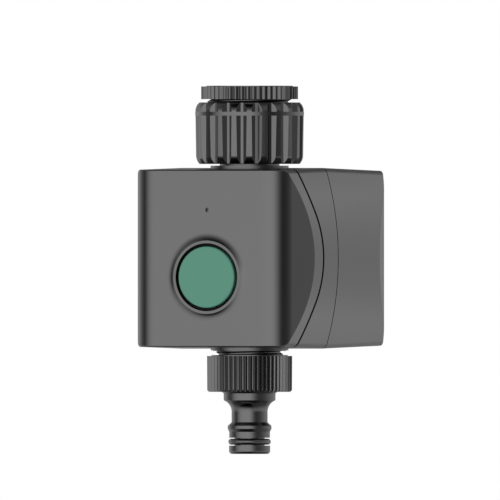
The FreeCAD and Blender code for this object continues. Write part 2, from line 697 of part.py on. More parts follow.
def solenoid_coil():
    bore = PLUNGER_RADIUS + 0.1
    low, high = COIL_Y
    return turned_y([(bore, low), (COIL_RADIUS, low), (COIL_RADIUS, low + BOBBIN_RIM),
                     (COIL_RADIUS - BOBBIN_RIM, low + BOBBIN_RIM), (COIL_RADIUS - BOBBIN_RIM, high - BOBBIN_RIM),
                     (COIL_RADIUS, high - BOBBIN_RIM), (COIL_RADIUS, high), (bore, high)])


def solenoid_yoke():
    frame = box(YOKE_HALF[0], YOKE_Y, YOKE_HALF[1])
    window = box(YOKE_HALF[0] + 1, COIL_Y, YOKE_HALF[1] - 1.6)
    return without(frame, window, rod_y(PLUNGER_RADIUS + 0.1, 20, COIL_Y[0] + 1))


def plunger():
    return turned_y([(0, PLUNGER_Y[0]), (1.2, PLUNGER_Y[0]), (2.4, PLUNGER_Y[0] + 1.2),
                     (PLUNGER_RADIUS, PLUNGER_Y[0] + 1.2), (PLUNGER_RADIUS, PLUNGER_Y[1]), (0, PLUNGER_Y[1])])


def plunger_spring():
    return spring_y(2.2, 0.3, PLUNGER_Y[1], COIL_Y[1], 2)


def swivel_clip():
    ring = pipe_z(CLIP_OUTER, CLIP_GROOVE, CLIP_Z[0], CLIP_Z[1])
    return without(ring, box(1.5, (0, 30), 60))


def nut_envelope():
    """Turned form that bounds the nut: slightly conical, with a rounded shoulder at each end."""
    low, high = NUT_RADIUS
    bottom, top = NUT_SHOULDERS
    bulge = NUT_SHOULDER_BULGE
    low_bend = (low - bulge, (bottom + NUT_BOTTOM) / 2)
    high_bend = (high - bulge, (top + NUT_TOP) / 2)
    return turned([(0, NUT_BOTTOM), (NUT_END_RADIUS, NUT_BOTTOM), (low_bend, (low, bottom)), (high, top),
                   (high_bend, (NUT_END_RADIUS, NUT_TOP)), (0, NUT_TOP)])


def inlet_nut():
    spare = 0.3
    foot_width = 2 * math.pi * NUT_FLOOR / NUT_RIBS - NUT_GROOVE_WIDTH
    taper = (foot_width - NUT_FACE_WIDTH) / (NUT_RADIUS[1] - NUT_FLOOR)
    ribs = star(NUT_RIBS, NUT_RADIUS[1] + spare, NUT_FLOOR, NUT_FACE_WIDTH - taper * spare, foot_width,
                NUT_BOTTOM, NUT_TOP, 180.0 / NUT_RIBS)
    band = rod_z(NUT_RADIUS[1], *NUT_BAND)
    thread = G1_RADIUS + THREAD_CLEARANCE
    bore = turned([(0, NUT_BOTTOM - 1), (NUT_LIP_BORE, NUT_BOTTOM - 1), (NUT_LIP_BORE, NUT_LIP_TOP),
                   (NUT_CAVITY, NUT_LIP_TOP), (NUT_CAVITY, NUT_THREAD_BOTTOM - 0.8),
                   (thread, NUT_THREAD_BOTTOM), (thread, NUT_TOP + 1), (0, NUT_TOP + 1)])
    return without(joined(ribs, band).common(nut_envelope()), bore)


def inlet_adapter():
    thread_end = INLET_MOUTH - FEMALE_DEPTH
    pocket_floor = thread_end - WASHER_THICKNESS
    thread = G34_RADIUS + THREAD_CLEARANCE
    teeth = knurls(ADAPTER_RIBS, ADAPTER_RADIUS, ADAPTER_ROOT, ADAPTER_RIB_SHARES,
                   ADAPTER_SHOULDER, ADAPTER_KNURL_TOP, ADAPTER_PHASE)
    body = turned([(ADAPTER_BORE, ADAPTER_BOTTOM), (G1_RADIUS - 0.8, ADAPTER_BOTTOM),
                   (G1_RADIUS, ADAPTER_BOTTOM + 0.8), (G1_RADIUS, G1_FULL_TOP), (G1_ROOT, G1_FULL_TOP),
                   (G1_ROOT, ADAPTER_SHOULDER),
                   (ADAPTER_DISC, ADAPTER_SHOULDER), (ADAPTER_DISC, INLET_MOUTH), (thread, INLET_MOUTH),
                   (thread, thread_end), (WASHER_POCKET, thread_end), (WASHER_POCKET, pocket_floor),
                   (STRAINER_LEDGE, pocket_floor), (STRAINER_LEDGE, pocket_floor - STRAINER_RIM),
                   (ADAPTER_BORE, pocket_floor - STRAINER_RIM)])
    teeth = without(teeth, rod_z(thread + 0.5, -BEYOND, BEYOND))
    return joined(body, teeth)


def tap_washer():
    thread_end = INLET_MOUTH - FEMALE_DEPTH
    return pipe_z(WASHER_POCKET - 0.1, STRAINER_LEDGE - 0.4, thread_end - WASHER_THICKNESS, thread_end)


def inlet_strainer():
    ledge = INLET_MOUTH - FEMALE_DEPTH - WASHER_THICKNESS - STRAINER_RIM
    return turned([(6.6, ledge + 2.0), (STRAINER_LEDGE - 0.1, ledge + 2.0), (STRAINER_LEDGE - 0.1, ledge),
                   (7.8, ledge), (4.2, 40.0), (0, 40.0), (0, 41.0), (3.4, 41.0)])


def inlet_washer():
    return pipe_z(NUT_CAVITY - 0.3, ADAPTER_BORE, TUBE_TOP, ADAPTER_BOTTOM).cut(
        pipe_z(20, NUT_CAVITY - 0.6, ADAPTER_BOTTOM - 1, ADAPTER_BOTTOM + 1))


def outlet_washer():
    return pipe_z(G34_RADIUS, OUTLET_BORE, OUTLET_SEAT, SPOUT_END)


def outlet_adaptor():
    thread = G34_RADIUS + THREAD_CLEARANCE
    teeth = knurls(OUTLET_RIBS, OUTLET_RADIUS, OUTLET_ROOT, OUTLET_RIB_SHARES,
                   OUTLET_KNURL_BOTTOM, OUTLET_KNURL_TOP, OUTLET_PHASE)
    foot = OUTLET_KNURL_BOTTOM
    core = OUTLET_ROOT - 0.1
    rounding = (OUTLET_RADIUS - 0.35, foot + 0.35)
    envelope = turned([(0, foot), (OUTLET_END_RADIUS, foot), (rounding, (OUTLET_RADIUS - 0.08, foot + 1.2)),
                       (OUTLET_RADIUS, OUTLET_KNURL_TOP), (0, OUTLET_KNURL_TOP)])
    teeth = teeth.common(envelope)
    groove_in = ORING_OUTER - 2 * ORING_WIRE
    body = turned([(NIPPLE_BORE, TIP_Z), (TIP_RADIUS, TIP_Z),
                   ((TIP_BEND[0], TIP_Z + TIP_BEND[1]), (NIPPLE_RADIUS, TIP_Z + TIP_ROUND)),
                   (NIPPLE_RADIUS, ORING_GROOVE_Z[0]), (groove_in, ORING_GROOVE_Z[0]),
                   (groove_in, ORING_GROOVE_Z[1]), (LAND_RADIUS, ORING_GROOVE_Z[1]), (LAND_RADIUS, LAND_TOP),
                   (STOP_RADIUS, STOP_Z[0]), (STOP_RADIUS, STOP_Z[1]), STOP_TOP,
                   (NECK_GROOVE, NECK_GROOVE_Z[0]), (NECK_GROOVE, NECK_GROOVE_Z[1]), (FLARE_BEND, FLARE_END),
                   (HUB_RADIUS[0], HUB_Z[0]), (HUB_RADIUS[1], HUB_Z[1]), (HUB_TOP_RADIUS, foot),
                   (core - 0.7, foot), (core, foot + 0.7),
                   (core, OUTLET_KNURL_TOP - 0.1), (OUTLET_LIP, OUTLET_KNURL_TOP),
                   (OUTLET_LIP, OUTLET_TOP), (thread, OUTLET_TOP), (thread, OUTLET_SEAT),
                   (NIPPLE_BORE, OUTLET_SEAT)])
    teeth = without(teeth, rod_z(thread + 0.6, -BEYOND, BEYOND))
    return joined(body, teeth)


def nipple_o_ring():
    return Part.makeTorus(ORING_OUTER - ORING_WIRE, ORING_WIRE, V(0, 0, ORING_CENTRE), Z_AXIS)


# Battery bay

def battery_tray():
    rear = REAR_Y - REAR_WALL
    tray = box(TRAY_HALF[0], (TRAY_FRONT_Y, rear), TRAY_HALF[1])
    room = box(TRAY_HALF[0] - TRAY_WALL, (TRAY_FRONT_Y + TRAY_WALL, rear + 1), TRAY_HALF[1] - TRAY_WALL)
    return without(tray, room)


def battery_cells():
    cells = []
    for index in (-1, 0, 1):
        up = 1 if index == 0 else -1
        cell = turned([(0, -CELL_HALF), (CELL_RADIUS - 0.5, -CELL_HALF), (CELL_RADIUS, -CELL_HALF + 0.5),
                       (CELL_RADIUS, CELL_HALF - 0.5), (CELL_RADIUS - 0.5, CELL_HALF), (CELL_TIP[0], CELL_HALF),
                       (CELL_TIP[0], CELL_HALF + CELL_TIP[1]), (0, CELL_HALF + CELL_TIP[1])])
        if up < 0:
            cell = cell.mirror(ORIGIN, Z_AXIS)
        cell.translate(V(index * CELL_PITCH, CELL_Y, 0))
        cells.append(cell)
    return Part.makeCompound(cells)


def battery_contacts():
    plates = []
    wall = TRAY_HALF[1] - TRAY_WALL
    y_range = (CELL_Y - CONTACT_HALF, CELL_Y + CONTACT_HALF)
    for index in (-1, 0, 1):
        up = 1 if index == 0 else -1
        for side, cell_end in ((up, CELL_HALF + CELL_TIP[1]), (-up, CELL_HALF)):
            thickness = wall - cell_end
            centre_z = side * (wall - thickness / 2)
            plates.append(box(CONTACT_HALF, y_range, thickness / 2, index * CELL_PITCH, centre_z))
    return Part.makeCompound(plates)


def battery_door():
    lid = rounded_plate(DOOR_HALF[0], DOOR_HALF[1], DOOR_CORNER, (REAR_Y - DOOR_THICKNESS, REAR_Y))
    rim_y = (REAR_Y - REAR_WALL + 0.2, REAR_Y - DOOR_THICKNESS + 0.1)
    rim = rounded_plate(RIM_HALF[0], RIM_HALF[1], 1.6, rim_y)
    hollow = rounded_plate(RIM_HALF[0] - 1.5, RIM_HALF[1] - 1.5, 1.0, (rim_y[0] - 1, REAR_Y - DOOR_THICKNESS))
    lid = without(joined(lid, rim), hollow)
    seat_y = REAR_Y - DOOR_THICKNESS + 0.6
    seats = [rod_y(DOOR_HEAD + 0.1, seat_y, REAR_Y + 1, z=side * DOOR_SCREW_Z) for side in (1, -1)]
    shank = DOOR_SHANK + SCREW_FIT
    holes = [rod_y(shank, REAR_Y - 5, REAR_Y + 1, z=side * DOOR_SCREW_Z) for side in (1, -1)]
    return without(lid, *seats, *holes)


def door_gasket():
    y_range = (REAR_Y - REAR_WALL + 0.3, REAR_Y - DOOR_THICKNESS)
    outer = rounded_plate(BAY_HALF[0] - 0.05, BAY_HALF[1] - 0.05, 2.0, y_range)
    inner = rounded_plate(RIM_HALF[0], RIM_HALF[1], 1.6, (y_range[0] - 1, y_range[1] + 1))
    return without(outer, inner)


def wires():
    """Two leads from the board to the coil and two to the battery tray."""
    start_y = BOARD_Y + BOARD_THICKNESS
    coil_x = COIL_RADIUS - 2.5
    turn_y = (COIL_Y[0] + COIL_Y[1]) / 2
    leads = []
    for side in (-1, 1):
        x = WIRE_X + side * WIRE_PITCH / 2
        low_z = WIRE_Z - WIRE_PITCH / 2
        leads.append(rod_y(WIRE_RADIUS, start_y, TRAY_FRONT_Y, x, low_z))
        z = WIRE_Z + WIRE_PITCH / 2
        end_y = turn_y + side * WIRE_PITCH / 2
        lean = WIRE_BEND * math.sqrt(0.5)
        bend = Part.Arc(V(x, end_y - WIRE_BEND, z),
                        V(x - WIRE_BEND + lean, end_y - WIRE_BEND + lean, z),
                        V(x - WIRE_BEND, end_y, z))
        leads.append(swept([Part.makeLine(V(x, start_y, z), V(x, end_y - WIRE_BEND, z)), bend.toShape(),
                            Part.makeLine(V(x - WIRE_BEND, end_y, z), V(coil_x, end_y, z))], WIRE_RADIUS))
    return Part.makeCompound(leads)


PIECES = [front_cover, middle_housing, rear_housing, front_seal, rear_seal, push_button, button_seal,
          button_spring, tact_switch, switch_plunger, circuit_board, board_screws, case_screws,
          radio_module, capacitor, status_led, light_pipe, valve_body, swivel_clip, inlet_nut,
          inlet_adapter, tap_washer, inlet_strainer, inlet_washer, diaphragm, diaphragm_core,
          diaphragm_spring, bonnet, bonnet_screws, solenoid_coil, solenoid_yoke, plunger,
          plunger_spring, outlet_washer, outlet_adaptor, nipple_o_ring, battery_tray, battery_cells,
          battery_contacts, battery_door, door_gasket, door_screws, wires]


def main():
    os.makedirs("parts", exist_ok=True)
    for piece in PIECES:
        shape = piece()
        shape.translate(V(0, 0, -INLET_MOUTH))
        shape.exportStep("parts/" + piece.__name__ + ".step")


main()
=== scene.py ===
"""Looks of a smart water valve for a garden tap: satin graphite housing and fittings, green button,
black rubber, cut threads and a gauze strainer, in a plain studio with a graded light tent.

Metres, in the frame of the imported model: +Z up, front towards -Y, the inlet's mouth at the origin.
"""
import json
import math

import bmesh
import bpy
from mathutils import Matrix, Vector


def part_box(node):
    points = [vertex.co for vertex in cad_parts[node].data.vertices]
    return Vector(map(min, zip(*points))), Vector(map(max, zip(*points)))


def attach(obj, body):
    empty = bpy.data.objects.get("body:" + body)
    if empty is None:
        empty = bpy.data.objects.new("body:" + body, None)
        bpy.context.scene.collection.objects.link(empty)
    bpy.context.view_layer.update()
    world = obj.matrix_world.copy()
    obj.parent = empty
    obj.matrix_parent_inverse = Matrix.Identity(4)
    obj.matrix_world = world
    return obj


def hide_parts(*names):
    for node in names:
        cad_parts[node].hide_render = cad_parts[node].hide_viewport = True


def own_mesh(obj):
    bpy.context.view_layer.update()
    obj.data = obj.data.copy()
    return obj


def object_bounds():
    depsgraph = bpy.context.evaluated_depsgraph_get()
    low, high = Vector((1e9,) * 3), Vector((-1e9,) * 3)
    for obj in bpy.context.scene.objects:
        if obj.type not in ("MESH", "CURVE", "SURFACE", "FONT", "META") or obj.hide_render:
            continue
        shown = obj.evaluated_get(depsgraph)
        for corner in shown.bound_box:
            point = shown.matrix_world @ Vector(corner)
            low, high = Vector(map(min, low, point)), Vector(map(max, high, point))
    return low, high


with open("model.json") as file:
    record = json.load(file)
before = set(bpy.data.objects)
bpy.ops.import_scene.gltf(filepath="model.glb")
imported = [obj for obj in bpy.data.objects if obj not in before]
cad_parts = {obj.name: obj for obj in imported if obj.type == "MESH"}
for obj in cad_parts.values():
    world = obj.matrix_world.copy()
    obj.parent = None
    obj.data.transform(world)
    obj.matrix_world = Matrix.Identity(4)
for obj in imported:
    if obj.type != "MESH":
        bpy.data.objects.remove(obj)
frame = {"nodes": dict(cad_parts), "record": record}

MM = 0.001
CAD_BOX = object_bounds()

# Camera: straight from the side at mid height, without perspective
VIEW_AZIMUTH = 25.0
VIEW_WIDTH = 0.19608
VIEW_CENTRE_Z = -64.45 * MM
VIEW_SHIFT_RIGHT = 0.157 * MM
CAMERA_DISTANCE = 1.2

# Threads, which stand on plain cylinders of the model: pitches, depths, crests and runs
THREAD_PITCH_LARGE = 2.309 * MM
THREAD_PITCH_SMALL = 1.814 * MM
THREAD_DEPTH_LARGE = 1.48 * MM
THREAD_DEPTH_SMALL = 1.16 * MM
LARGE_CREST = 16.6 * MM
SMALL_CREST = 13.2 * MM
LARGE_THREAD_Z = (-11.7 * MM, -1.5 * MM)
SPOUT_THREAD_Z = (-109.7 * MM, -102.7 * MM)
INLET_THREAD_Z = (-11.4 * MM, -0.9 * MM)
INLET_WALL = 13.35 * MM
THREAD_SINK = 0.1 * MM
THREAD_STEPS_PER_TURN = 72

# Strainer's gauze
GAUZE_Z = -14.4 * MM
GAUZE_RADIUS = 6.75 * MM
GAUZE_WIRE = 0.11 * MM
GAUZE_PITCH = 0.62 * MM

# Door screws; the head's outline is in shares of its radius and height
HOUSING_MIDDLE_Z = -67.7 * MM
SCREW_FROM_MIDDLE = 29.0 * MM
SCREW_HEAD_RADIUS = 2.15 * MM
SCREW_HEAD_HEIGHT = 1.15 * MM
SCREW_SHANK_RADIUS = 1.2 * MM
SCREW_HEAD_OUTLINE = [(0.62, 1.0), (0.86, 0.86), (1.0, 0.5), (1.0, 0.0)]
SCREW_SEGMENTS = 32

# Battery cells and wires
CELL_HALF_LENGTH = 24.6 * MM
CELL_RIM = 0.6 * MM
CELL_BAND_INSET = 14 * MM
WIRE_PAIR_MIDDLE_X = 23.0 * MM

# Hole of the button, and the seams of the housing as seen from the side, with the widths of their painted
# shade
BUTTON_AXIS_Z = HOUSING_MIDDLE_Z - 7.43 * MM
BUTTON_HOLE = 13.26 * MM
COVER_BACK_Y = -20 * MM
CURVED_SEAM_RADIUS = 36.0 * MM
CURVED_SEAM_MIDDLE_Y = -47.55 * MM
CURVED_SEAM_BEND_Z = 17.5 * MM
CURVED_SEAM_HALF = 0.76 * MM
FLAT_SEAM_Y = 2.0 * MM
FLAT_SEAM_HALF = 0.32 * MM

# Studio
FLOOR_REACH = 3.0
FLOOR_GAP = 0.2 * MM
DAYLIGHT = 0.8
TENT_RADIUS = 0.6

# Light tent round the object: (azimuth, glow, share of the side's heights, share of the room's glow).
# Azimuth 0 is the front and 90 the right.
TENT_AROUND = [(-180, 0.40, 0.1, 0.2), (-160, 0.20, 0.1, 0.2), (-145, 0.30, 0.2, 0.3),
               (-130, 0.43, 0.2, 0.4), (-116, 0.70, 0.2, 0.3), (-105, 0.70, 0.2, 0.3),
               (-89, 0.38, 0.2, 0.7), (-70, 0.10, 0.1, 1.0), (-62, 0.18, 0.0, 1.0),
               (-54, 0.46, 0.0, 0.6), (-44, 0.78, 0.0, 0.2), (-32, 1.0, 0.0, 0.0),
               (-20, 1.05, 0.0, 0.0), (15, 1.10, 0.0, 0.0), (27, 1.04, 0.0, 0.0),
               (38, 0.78, 0.0, 0.0), (47, 0.47, 0.0, 0.3), (55, 0.21, 0.0, 0.8),
               (63, 0.08, 0.2, 1.0), (74, 0.07, 0.4, 1.0), (93, 0.14, 0.6, 1.0),
               (121, 0.41, 0.8, 0.6), (140, 0.56, 1.0, 0.2), (158, 0.59, 1.0, 0.0),
               (180, 0.40, 0.1, 0.2)]
# Light tent upwards: (elevation, share of the glow in front, share at the sides, glow of the room)
TENT_UPWARD = [(-90, 0.0, 0.20, 0.10), (-62, 0.0, 0.20, 0.10), (-48, 0.05, 0.25, 0.16),
               (-38, 0.46, 0.35, 0.30), (-25, 0.80, 0.90, 0.45), (-12, 0.92, 1.24, 0.30),
               (-6, 0.95, 1.03, 0.0), (0, 0.98, 0.98, 0.0), (4, 0.98, 1.03, 0.0),
               (12, 0.72, 1.24, 0.12), (17, 0.57, 1.0, 0.20), (22, 0.42, 0.72, 0.25),
               (26, 0.33, 0.38, 0.28), (38, 0.12, 0.25, 0.32), (48, 0.03, 0.20, 0.30),
               (58, 0.005, 0.15, 0.20), (90, 0.005, 0.15, 0.0)]
# Light tent: patch straight overhead, from this height of a unit ray on, and its steepness
TENT_ZENITH = 0.98
TENT_ZENITH_SLOPE = 14.0

# Colours as linear values
GRAPHITE = (0.178, 0.178, 0.180)
BUTTON_GREEN = (0.070, 0.236, 0.165)
RUBBER_BLACK = (0.012, 0.012, 0.012)
INNER_BLACK = (0.035, 0.035, 0.036)
NYLON_WHITE = (0.62, 0.61, 0.57)
STEEL_GREY = (0.52, 0.52, 0.52)
COPPER_RED = (0.62, 0.27, 0.12)
BOARD_GREEN = (0.012, 0.11, 0.045)
SLEEVE_GREY = (0.30, 0.32, 0.34)
SLEEVE_BLUE = (0.05, 0.14, 0.30)
WIRE_RED = (0.42, 0.03, 0.02)
LENS_FROST = (0.42, 0.42, 0.42)
FLOOR_PALE = (0.86, 0.86, 0.86)

# Fineness of the finishes, in marks per metre
SPECKLES = 2600.0
SMEARS = 60.0
WINDING_TURNS = 600.0
BOARD_TRACKS = 320.0


# Node groups

def new_group(name, inputs, outputs):
    """Shader node group with the named sockets, and its input and output nodes."""
    group = bpy.data.node_groups.new(name, "ShaderNodeTree")
    for socket_name, kind, value in inputs:
        socket = group.interface.new_socket(socket_name, in_out="INPUT", socket_type=kind)
        if value is not None:
            socket.default_value = value
    for socket_name, kind in outputs:
        group.interface.new_socket(socket_name, in_out="OUTPUT", socket_type=kind)
    entry = group.nodes.new("NodeGroupInput")
    leave = group.nodes.new("NodeGroupOutput")
    return group, entry, leave


def maths(tree, operation, first, second):
    """Math node; each operand is a number or an output socket."""
    node = tree.nodes.new("ShaderNodeMath")
    node.operation = operation
    for slot, value in zip(node.inputs, (first, second)):
        if isinstance(value, (int, float)):
            slot.default_value = value
        else:
            tree.links.new(value, slot)
    return node.outputs[0]


def scaled_noise(tree, vector, scale, detail):
    noise = tree.nodes.new("ShaderNodeTexNoise")
    noise.inputs["Detail"].default_value = detail
    tree.links.new(vector, noise.inputs["Vector"])
    if isinstance(scale, (int, float)):
        noise.inputs["Scale"].default_value = scale
    else:
        tree.links.new(scale, noise.inputs["Scale"])
    return noise.outputs["Fac"]


def make_mould_grain():
    """Fine spark-eroded grain of a moulding tool: small pits over a soft unevenness."""
    group, entry, leave = new_group("mould grain", [("Vector", "NodeSocketVector", None),
                                                    ("Grains per metre", "NodeSocketFloat", 4000.0)],
                                    [("Height", "NodeSocketFloat")])
    pits = group.nodes.new("ShaderNodeTexVoronoi")
    pits.feature = "SMOOTH_F1"
    group.links.new(entry.outputs["Vector"], pits.inputs["Vector"])
    group.links.new(entry.outputs["Grains per metre"], pits.inputs["Scale"])
    fine = scaled_noise(group, entry.outputs["Vector"], entry.outputs["Grains per metre"], 3.0)
    mixed = maths(group, "ADD", pits.outputs["Distance"], fine)
    group.links.new(mixed, leave.inputs["Height"])
    return group


def make_tone_drift():
    """Slow drift and fine speckle of a colour, as in pigmented plastic and satin paint."""
    group, entry, leave = new_group("tone drift", [("Vector", "NodeSocketVector", None),
                                                   ("Colour", "NodeSocketColor", None),
                                                   ("Patches per metre", "NodeSocketFloat", 35.0),
                                                   ("Amount", "NodeSocketFloat", 0.05)],
                                    [("Colour", "NodeSocketColor")])
    patches = scaled_noise(group, entry.outputs["Vector"], entry.outputs["Patches per metre"], 2.0)
    speckle = scaled_noise(group, entry.outputs["Vector"], SPECKLES, 1.0)
    both = maths(group, "ADD", patches, speckle)
    centred = maths(group, "SUBTRACT", both, 1.0)
    swing = maths(group, "MULTIPLY", centred, entry.outputs["Amount"])
    gain = maths(group, "ADD", swing, 1.0)
    tint = group.nodes.new("ShaderNodeVectorMath")
    tint.operation = "SCALE"
    group.links.new(entry.outputs["Colour"], tint.inputs[0])
    group.links.new(gain, tint.inputs["Scale"])
    group.links.new(tint.outputs["Vector"], leave.inputs["Colour"])
    return group


def make_handling_marks():
    """Roughness that varies a little where hands and water have touched the surface."""
    group, entry, leave = new_group("handling marks", [("Vector", "NodeSocketVector", None),
                                                       ("Roughness", "NodeSocketFloat", 0.4),
                                                       ("Amount", "NodeSocketFloat", 0.08)],
                                    [("Roughness", "NodeSocketFloat")])
    smears = scaled_noise(group, entry.outputs["Vector"], SMEARS, 4.0)
    centred = maths(group, "SUBTRACT", smears, 0.5)
    swing = maths(group, "MULTIPLY", centred, entry.outputs["Amount"])
    total = maths(group, "ADD", swing, entry.outputs["Roughness"])
    group.links.new(total, leave.inputs["Roughness"])
    return group


MOULD_GRAIN = make_mould_grain()
TONE_DRIFT = make_tone_drift()
HANDLING_MARKS = make_handling_marks()


# Materials

def place_group(tree, group, vector, **values):
    node = tree.nodes.new("ShaderNodeGroup")
    node.node_tree = group
    tree.links.new(vector, node.inputs["Vector"])
    for name, value in values.items():
        node.inputs[name.replace("_", " ")].default_value = value
    return node


def plain_finish(name, colour, roughness, metallic=0.0, grain=4000.0, depth=0.02, drift=0.05, marks=0.06):
    """Material with drifting colour, handled roughness and a fine grain. Returns it with its parts."""
    material = bpy.data.materials.new(name)
    material.use_nodes = True
    tree = material.node_tree
    shader = tree.nodes["Principled BSDF"]
    shader.inputs["Metallic"].default_value = metallic
    place = tree.nodes.new("ShaderNodeTexCoord").outputs["Object"]
    tone = place_group(tree, TONE_DRIFT, place, Colour=(*colour, 1.0), Amount=drift)
    tree.links.new(tone.outputs["Colour"], shader.inputs["Base Color"])
    wear = place_group(tree, HANDLING_MARKS, place, Roughness=roughness, Amount=marks)
    tree.links.new(wear.outputs["Roughness"], shader.inputs["Roughness"])
    pits = place_group(tree, MOULD_GRAIN, place, Grains_per_metre=grain)
    bump = tree.nodes.new("ShaderNodeBump")
    bump.inputs["Strength"].default_value = depth
    bump.inputs["Distance"].default_value = 0.05 * MM
    tree.links.new(pits.outputs["Height"], bump.inputs["Height"])
    tree.links.new(bump.outputs["Normal"], shader.inputs["Normal"])
    return {"material": material, "tree": tree, "shader": shader, "place": place, "tone": tone, "bump": bump}


def banded(tree, place, axis, stops):
    """Sharp colour bands along one axis of the piece; stops are (position in metres, colour)."""
    split = tree.nodes.new("ShaderNodeSeparateXYZ")
    tree.links.new(place, split.inputs[0])
    low = stops[0][0]
    span = stops[-1][0] - low
    shifted = maths(tree, "SUBTRACT", split.outputs[axis], low)
    factor = maths(tree, "DIVIDE", shifted, span)
    ramp = tree.nodes.new("ShaderNodeValToRGB")
    ramp.color_ramp.interpolation = "CONSTANT"
    tree.links.new(factor, ramp.inputs["Fac"])
    points = ramp.color_ramp.elements
    points[0].position = 0.0
    points[0].color = (*stops[0][1], 1.0)
    points[1].position = 1.0
    points[1].color = (*stops[-1][1], 1.0)
    for position, colour in stops[1:-1]:
        point = points.new((position - low) / span)
        point.color = (*colour, 1.0)
    return ramp.outputs["Color"]


def make_coil_winding():
    """Enamelled copper wire: turns side by side along Y between the bobbin's flanges."""
    parts = plain_finish("coil winding", COPPER_RED, 0.32, metallic=0.9, drift=0.08)
    tree = parts["tree"]
    turns = tree.nodes.new("ShaderNodeTexWave")
    turns.bands_direction = "Y"
    turns.inputs["Scale"].default_value = WINDING_TURNS
    tree.links.new(parts["place"], turns.inputs["Vector"])
    tree.links.new(turns.outputs["Fac"], parts["bump"].inputs["Height"])
    parts["bump"].inputs["Strength"].default_value = 0.6
    return parts["material"]


def make_cell_sleeve():
    """Battery cell: plain grey sleeve with a blue band, uncovered steel at both ends."""
    parts = plain_finish("cell sleeve", SLEEVE_GREY, 0.28, drift=0.03)
    top = HOUSING_MIDDLE_Z + CELL_HALF_LENGTH
    bottom = HOUSING_MIDDLE_Z - CELL_HALF_LENGTH
    beyond = 2 * MM
    bands = banded(parts["tree"], parts["place"], "Z",
                   [(bottom - beyond, STEEL_GREY), (bottom + CELL_RIM, SLEEVE_GREY),
                    (bottom + CELL_BAND_INSET, SLEEVE_BLUE), (top - CELL_BAND_INSET, SLEEVE_GREY),
                    (top - CELL_RIM, STEEL_GREY), (top + beyond, STEEL_GREY)])
    parts["tree"].links.new(bands, parts["tone"].inputs["Colour"])
    return parts["material"]


def make_wire_skin():
    """Two pairs of leads: one of each pair red, the other black."""
    parts = plain_finish("wire insulation", WIRE_RED, 0.35, drift=0.03)
    middle = WIRE_PAIR_MIDDLE_X
    reach = 30 * MM
    colours = banded(parts["tree"], parts["place"], "X",
                     [(middle - reach, WIRE_RED), (middle, INNER_BLACK), (middle + reach, INNER_BLACK)])
    parts["tree"].links.new(colours, parts["tone"].inputs["Colour"])
    return parts["material"]


def make_board_laminate():
    """Green solder mask over raised copper tracks."""
    parts = plain_finish("board laminate", BOARD_GREEN, 0.3, drift=0.08)
    tree = parts["tree"]
    tracks = tree.nodes.new("ShaderNodeTexVoronoi")
    tracks.feature = "DISTANCE_TO_EDGE"
    tracks.inputs["Scale"].default_value = BOARD_TRACKS
    tree.links.new(parts["place"], tracks.inputs["Vector"])
    track_width = 0.06
    edge = maths(tree, "LESS_THAN", tracks.outputs["Distance"], track_width)
    tree.links.new(edge, parts["bump"].inputs["Height"])
    parts["bump"].inputs["Strength"].default_value = 0.5
    return parts["material"]


def make_lens():
    """Frosted end of the light guide."""
    parts = plain_finish("light guide", LENS_FROST, 0.35, drift=0.02)
    parts["shader"].inputs["Transmission Weight"].default_value = 0.15
    parts["shader"].inputs["IOR"].default_value = 1.49
    return parts["material"]


def make_rubber():
    """Matt black rubber."""
    parts = plain_finish("black rubber", RUBBER_BLACK, 0.6, drift=0.12, grain=2500.0, depth=0.04)
    parts["shader"].inputs["Specular IOR Level"].default_value = 0.15
    return parts["material"]


def make_satin_graphite(name, roughness, depth):
    """Satin metallic graphite finish of the housing and the fittings."""
    return plain_finish(name, GRAPHITE, roughness, metallic=1.0, grain=5200.0, depth=depth, drift=0.025,
                        marks=0.04)


def button_hole_shade_mask(tree, split):
    """Painted shade on the wall of the button's hole: 1 there, 0 elsewhere."""
    across = maths(tree, "POWER", split.outputs["X"], 2.0)
    up = maths(tree, "POWER", maths(tree, "SUBTRACT", split.outputs["Z"], BUTTON_AXIS_Z), 2.0)
    in_hole = maths(tree, "LESS_THAN", maths(tree, "ADD", across, up), BUTTON_HOLE ** 2)
    in_cover = maths(tree, "LESS_THAN", split.outputs["Y"], COVER_BACK_Y)
    return maths(tree, "MULTIPLY", in_hole, in_cover)


def seam_shade_mask(tree, split):
    """Painted shade in both seams of the housing and on their very edges: 1 there, 0 elsewhere."""
    height = maths(tree, "ABSOLUTE", maths(tree, "SUBTRACT", split.outputs["Z"], HOUSING_MIDDLE_Z), 0.0)
    forward = maths(tree, "SUBTRACT", split.outputs["Y"], CURVED_SEAM_MIDDLE_Y)
    squares = maths(tree, "ADD", maths(tree, "POWER", forward, 2.0), maths(tree, "POWER", height, 2.0))
    from_arc = maths(tree, "SUBTRACT", maths(tree, "SQRT", squares, 0.0), CURVED_SEAM_RADIUS)
    lean = math.asin(CURVED_SEAM_BEND_Z / CURVED_SEAM_RADIUS)
    along = maths(tree, "MULTIPLY", forward, math.cos(lean))
    rise = maths(tree, "MULTIPLY", height, math.sin(lean))
    from_line = maths(tree, "SUBTRACT", maths(tree, "ADD", along, rise), CURVED_SEAM_RADIUS)
    beyond_bend = maths(tree, "GREATER_THAN", height, CURVED_SEAM_BEND_Z)
    distance = tree.nodes.new("ShaderNodeMix")
    tree.links.new(beyond_bend, distance.inputs["Factor"])
    tree.links.new(from_arc, distance.inputs["A"])
    tree.links.new(from_line, distance.inputs["B"])
    off_curve = maths(tree, "ABSOLUTE", distance.outputs["Result"], 0.0)
    curved = maths(tree, "LESS_THAN", off_curve, CURVED_SEAM_HALF)
    off_flat = maths(tree, "ABSOLUTE", maths(tree, "SUBTRACT", split.outputs["Y"], FLAT_SEAM_Y), 0.0)
    flat = maths(tree, "LESS_THAN", off_flat, FLAT_SEAM_HALF)
    return maths(tree, "MAXIMUM", curved, flat)


